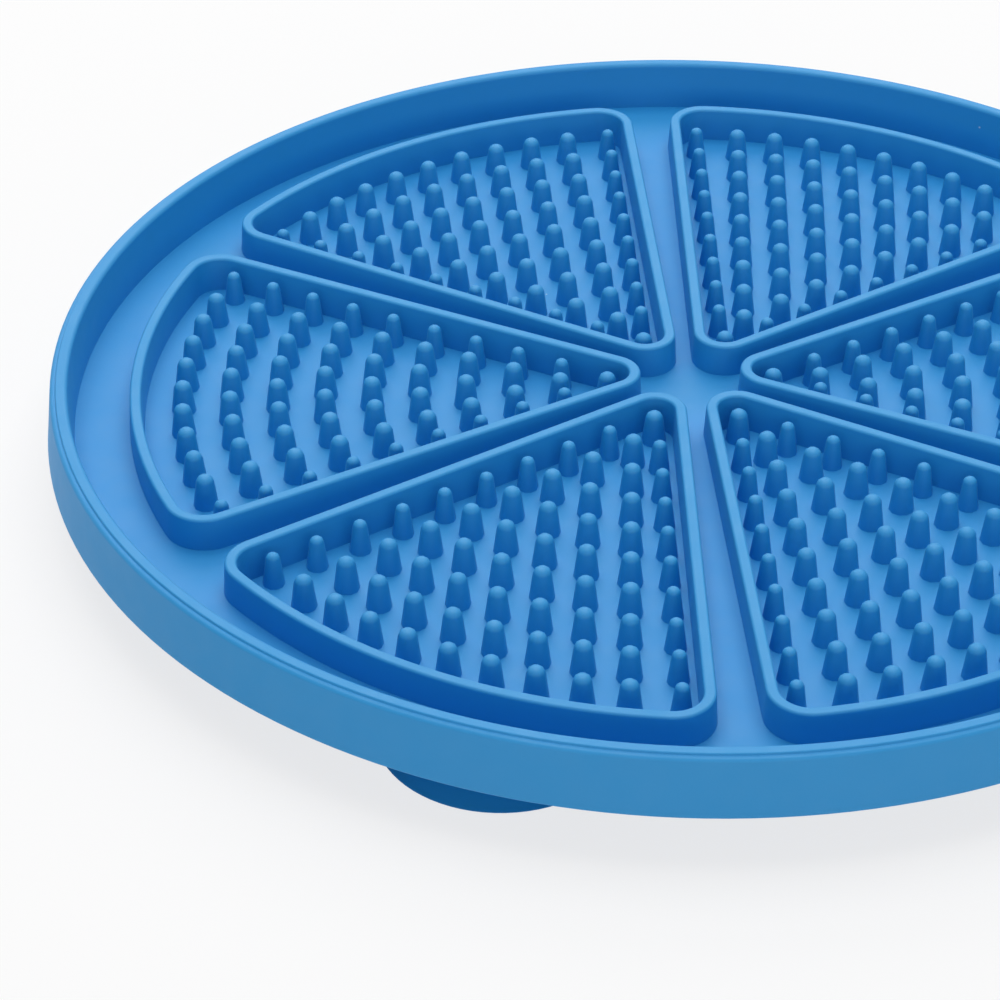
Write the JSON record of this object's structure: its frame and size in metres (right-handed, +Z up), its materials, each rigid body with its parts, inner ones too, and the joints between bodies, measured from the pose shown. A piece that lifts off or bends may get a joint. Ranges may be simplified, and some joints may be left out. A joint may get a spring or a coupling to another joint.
{
  "type": "lick mat",
  "caption": "Round silicone lick mat: a rimmed tray with walled wedge compartments full of soft studs, parted by spoke channels, on push-in suction cups.",
  "frame": {"origin": "on the floor plane under the suction cups, below the centre of the mat", "axes": "+Z up out of the tray; one spoke channel runs along -Y, towards the front"},
  "size_m": [0.2018, 0.2018, 0.019],
  "materials": {
    "mat_silicone": "satin",
    "cup_silicone": "satin"
  },
  "bodies": {
    "mat": {"base": "mat_silicone", "rim": "mat_silicone", "compartment_wall_1": "mat_silicone", "compartment_wall_2": "mat_silicone", "compartment_wall_3": "mat_silicone", "compartment_wall_4": "mat_silicone", "compartment_wall_5": "mat_silicone", "compartment_wall_6": "mat_silicone", "stud_field_1": "mat_silicone", "stud_field_2": "mat_silicone", "stud_field_3": "mat_silicone", "stud_field_4": "mat_silicone", "stud_field_5": "mat_silicone", "stud_field_6": "mat_silicone"},
    "cup_1": {"suction_cup_1": "cup_silicone"},
    "cup_2": {"suction_cup_2": "cup_silicone"},
    "cup_3": {"suction_cup_3": "cup_silicone"},
    "cup_4": {"suction_cup_4": "cup_silicone"}
  },
  "joints": [
    {"name": "cup_1_swivel", "type": "hinge", "parent": "mat", "child": "cup_1", "pos_m": [-0.03254, -0.06979, 0], "axis": [0, 0, 1], "continuous": true},
    {"name": "cup_2_swivel", "type": "hinge", "parent": "mat", "child": "cup_2", "pos_m": [0.06979, -0.03254, 0], "axis": [0, 0, 1], "continuous": true},
    {"name": "cup_3_swivel", "type": "hinge", "parent": "mat", "child": "cup_3", "pos_m": [0.03254, 0.06979, 0], "axis": [0, 0, 1], "continuous": true},
    {"name": "cup_4_swivel", "type": "hinge", "parent": "mat", "child": "cup_4", "pos_m": [-0.06979, 0.03254, 0], "axis": [0, 0, 1], "continuous": true}
  ]
}
